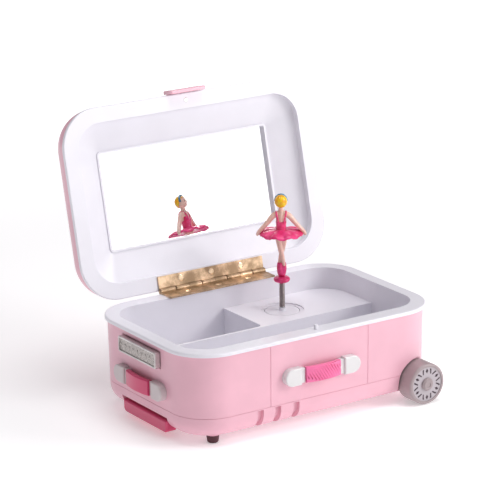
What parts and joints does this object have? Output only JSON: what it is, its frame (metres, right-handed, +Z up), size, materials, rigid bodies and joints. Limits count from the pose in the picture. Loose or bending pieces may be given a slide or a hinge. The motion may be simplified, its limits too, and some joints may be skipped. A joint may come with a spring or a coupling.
{
  "type": "wind-up music box",
  "caption": "Suitcase-shaped wind-up music box with a mirrored lid, jewellery compartments, a turning dancer, wheels and a pull-out trolley handle.",
  "frame": {"origin": "on the ground, under the centre of the case", "axes": "+X along the case towards the wheels, +Y towards the hinge at the back, +Z up"},
  "size_m": [0.184, 0.1725, 0.1787],
  "materials": {
    "pink_plastic": "satin injection-moulded pink plastic",
    "white_plastic": "smooth cool-white plastic",
    "off_white_plastic": "smooth off-white plastic",
    "hot_pink_plastic": "glossy hot-pink plastic",
    "raspberry_plastic": "glossy raspberry plastic",
    "silver_plate": "bright silver plating",
    "silver_panel": "embossed silver panel",
    "mirror_glass": "silvered mirror",
    "antique_brass": "antiqued brass plating",
    "brass": "plain brass",
    "steel": "bright steel",
    "spring_steel": "dark spring steel",
    "black_rubber": "dark maroon rubber",
    "wheel_plastic": "off-white wheel plastic",
    "wheel_print": null,
    "skin_paint": "painted skin tone",
    "dress_paint": "glossy crimson-pink paint",
    "hair_paint": "yellow paint",
    "band_paint": "blue paint"
  },
  "bodies": {
    "case": {"case_body": "pink_plastic", "bottom_pan": "pink_plastic", "inner_tray": "white_plastic", "case_screws": "steel", "foot_front": "black_rubber", "foot_back": "black_rubber", "nameplate_frame": "silver_plate", "nameplate_panel": "silver_panel", "front_handle_cap_left": "off_white_plastic", "front_handle_cap_right": "off_white_plastic", "front_handle_grip": "hot_pink_plastic", "end_handle_cap_front": "off_white_plastic", "end_handle_cap_back": "off_white_plastic", "end_handle_grip": "hot_pink_plastic", "handle_screws": "steel", "hinge_lower_leaf": "antique_brass", "hinge_pin": "antique_brass", "hinge_lower_screws": "antique_brass", "wheel_axle": "steel", "hub_cap_front": "off_white_plastic", "hub_cap_back": "off_white_plastic", "spindle_collar": "brass", "bedplate": "brass", "movement_screws": "steel", "comb": "spring_steel", "comb_screws": "steel", "bearing_plates": "brass", "governor_bracket": "brass"},
    "lid": {"lid_shell": "pink_plastic", "lid_liner": "white_plastic", "mirror": "mirror_glass", "lid_latch": "pink_plastic", "lid_screw": "steel", "hinge_upper_leaf": "antique_brass", "hinge_upper_screws": "antique_brass"},
    "front_wheel": {"wheel_front": "wheel_plastic", "wheel_label_front": "wheel_print"},
    "back_wheel": {"wheel_back": "wheel_plastic", "wheel_label_back": "wheel_print"},
    "trolley": {"trolley_grip": "raspberry_plastic", "trolley_rods": "steel", "trolley_stop_bar": "off_white_plastic"},
    "stop_pin": {"stop_pin": "white_plastic"},
    "stop_lever": {"stop_lever": "steel"},
    "winding": {"winding_key": "steel", "winding_arbor": "steel"},
    "barrel": {"spring_barrel": "brass", "mainspring": "spring_steel", "spindle": "steel", "turntable_disc": "white_plastic"},
    "spring_post": {"dancer_spring": "spring_steel"},
    "dancer": {"dancer_base": "dress_paint", "dancer_shoes": "dress_paint", "dancer_figure": "skin_paint", "dancer_dress": "dress_paint", "dancer_hair": "hair_paint", "dancer_headband": "band_paint"},
    "cylinder": {"pinned_cylinder": "brass"},
    "idler": {"idler_arbor": "brass"},
    "governor": {"governor": "brass"}
  },
  "joints": [
    {"name": "lid_hinge", "type": "hinge", "parent": "case", "child": "lid", "pos_m": [0, 0.0594, 0.0598], "axis": [1, 0, 0], "range_deg": [0, 103]},
    {"name": "front_wheel_spin", "type": "hinge", "parent": "case", "child": "front_wheel", "pos_m": [0.0722, -0.0604, 0.0128], "axis": [0, 1, 0], "continuous": true},
    {"name": "back_wheel_spin", "type": "hinge", "parent": "case", "child": "back_wheel", "pos_m": [0.0722, 0.0604, 0.0128], "axis": [0, 1, 0], "continuous": true},
    {"name": "trolley_pull", "type": "slide", "parent": "case", "child": "trolley", "axis": [-1, 0, 0], "range_m": [0, 0.06]},
    {"name": "key_turn", "type": "hinge", "parent": "case", "child": "winding", "pos_m": [0.0292, 0.0255, 0.01], "axis": [0, 0, 1], "continuous": true},
    {"name": "barrel_turn", "type": "hinge", "parent": "case", "child": "barrel", "pos_m": [0.0292, 0.0255, 0.025], "axis": [0, 0, 1], "continuous": true},
    {"name": "dancer_fold", "type": "hinge", "parent": "case", "child": "spring_post", "pos_m": [0.0292, 0.0255, 0.054], "axis": [1, 0, 0], "range_deg": [0, 90.01], "deforming": ["dancer_spring"]},
    {"name": "dancer_turn", "type": "hinge", "parent": "spring_post", "child": "dancer", "pos_m": [0.0292, 0.0255, 0.064], "axis": [0, 0, 1], "continuous": true},
    {"name": "stop_pin_press", "type": "slide", "parent": "case", "child": "stop_pin", "axis": [0, 0, -1], "range_m": [0, 0.00121]},
    {"name": "stop_lever_tilt", "type": "hinge", "parent": "case", "child": "stop_lever", "pos_m": [0, -0.012, 0.0134], "axis": [1, 0, 0], "range_deg": [0, 1.67]},
    {"name": "cylinder_turn", "type": "hinge", "parent": "case", "child": "cylinder", "pos_m": [0.055, 0.0255, 0.028], "axis": [1, 0, 0], "continuous": true},
    {"name": "idler_turn", "type": "hinge", "parent": "case", "child": "idler", "pos_m": [0.06, 0.03625, 0.028], "axis": [1, 0, 0], "continuous": true},
    {"name": "governor_turn", "type": "hinge", "parent": "case", "child": "governor", "pos_m": [0.073, 0.04365, 0.03], "axis": [0, 0, 1], "continuous": true}
  ],
  "couplings": [
    {"joint": "dancer_fold", "follows": "lid_hinge", "ratio": 0.87379},
    {"joint": "stop_pin_press", "follows": "lid_hinge", "m_per_rad": 0.00066752},
    {"joint": "stop_lever_tilt", "follows": "lid_hinge", "ratio": 0.016126},
    {"joint": "dancer_turn", "follows": "barrel_turn", "ratio": 1},
    {"joint": "cylinder_turn", "follows": "barrel_turn", "ratio": 2.5714},
    {"joint": "idler_turn", "follows": "barrel_turn", "ratio": -7.4805},
    {"joint": "governor_turn", "follows": "barrel_turn", "ratio": 164.57}
  ]
}
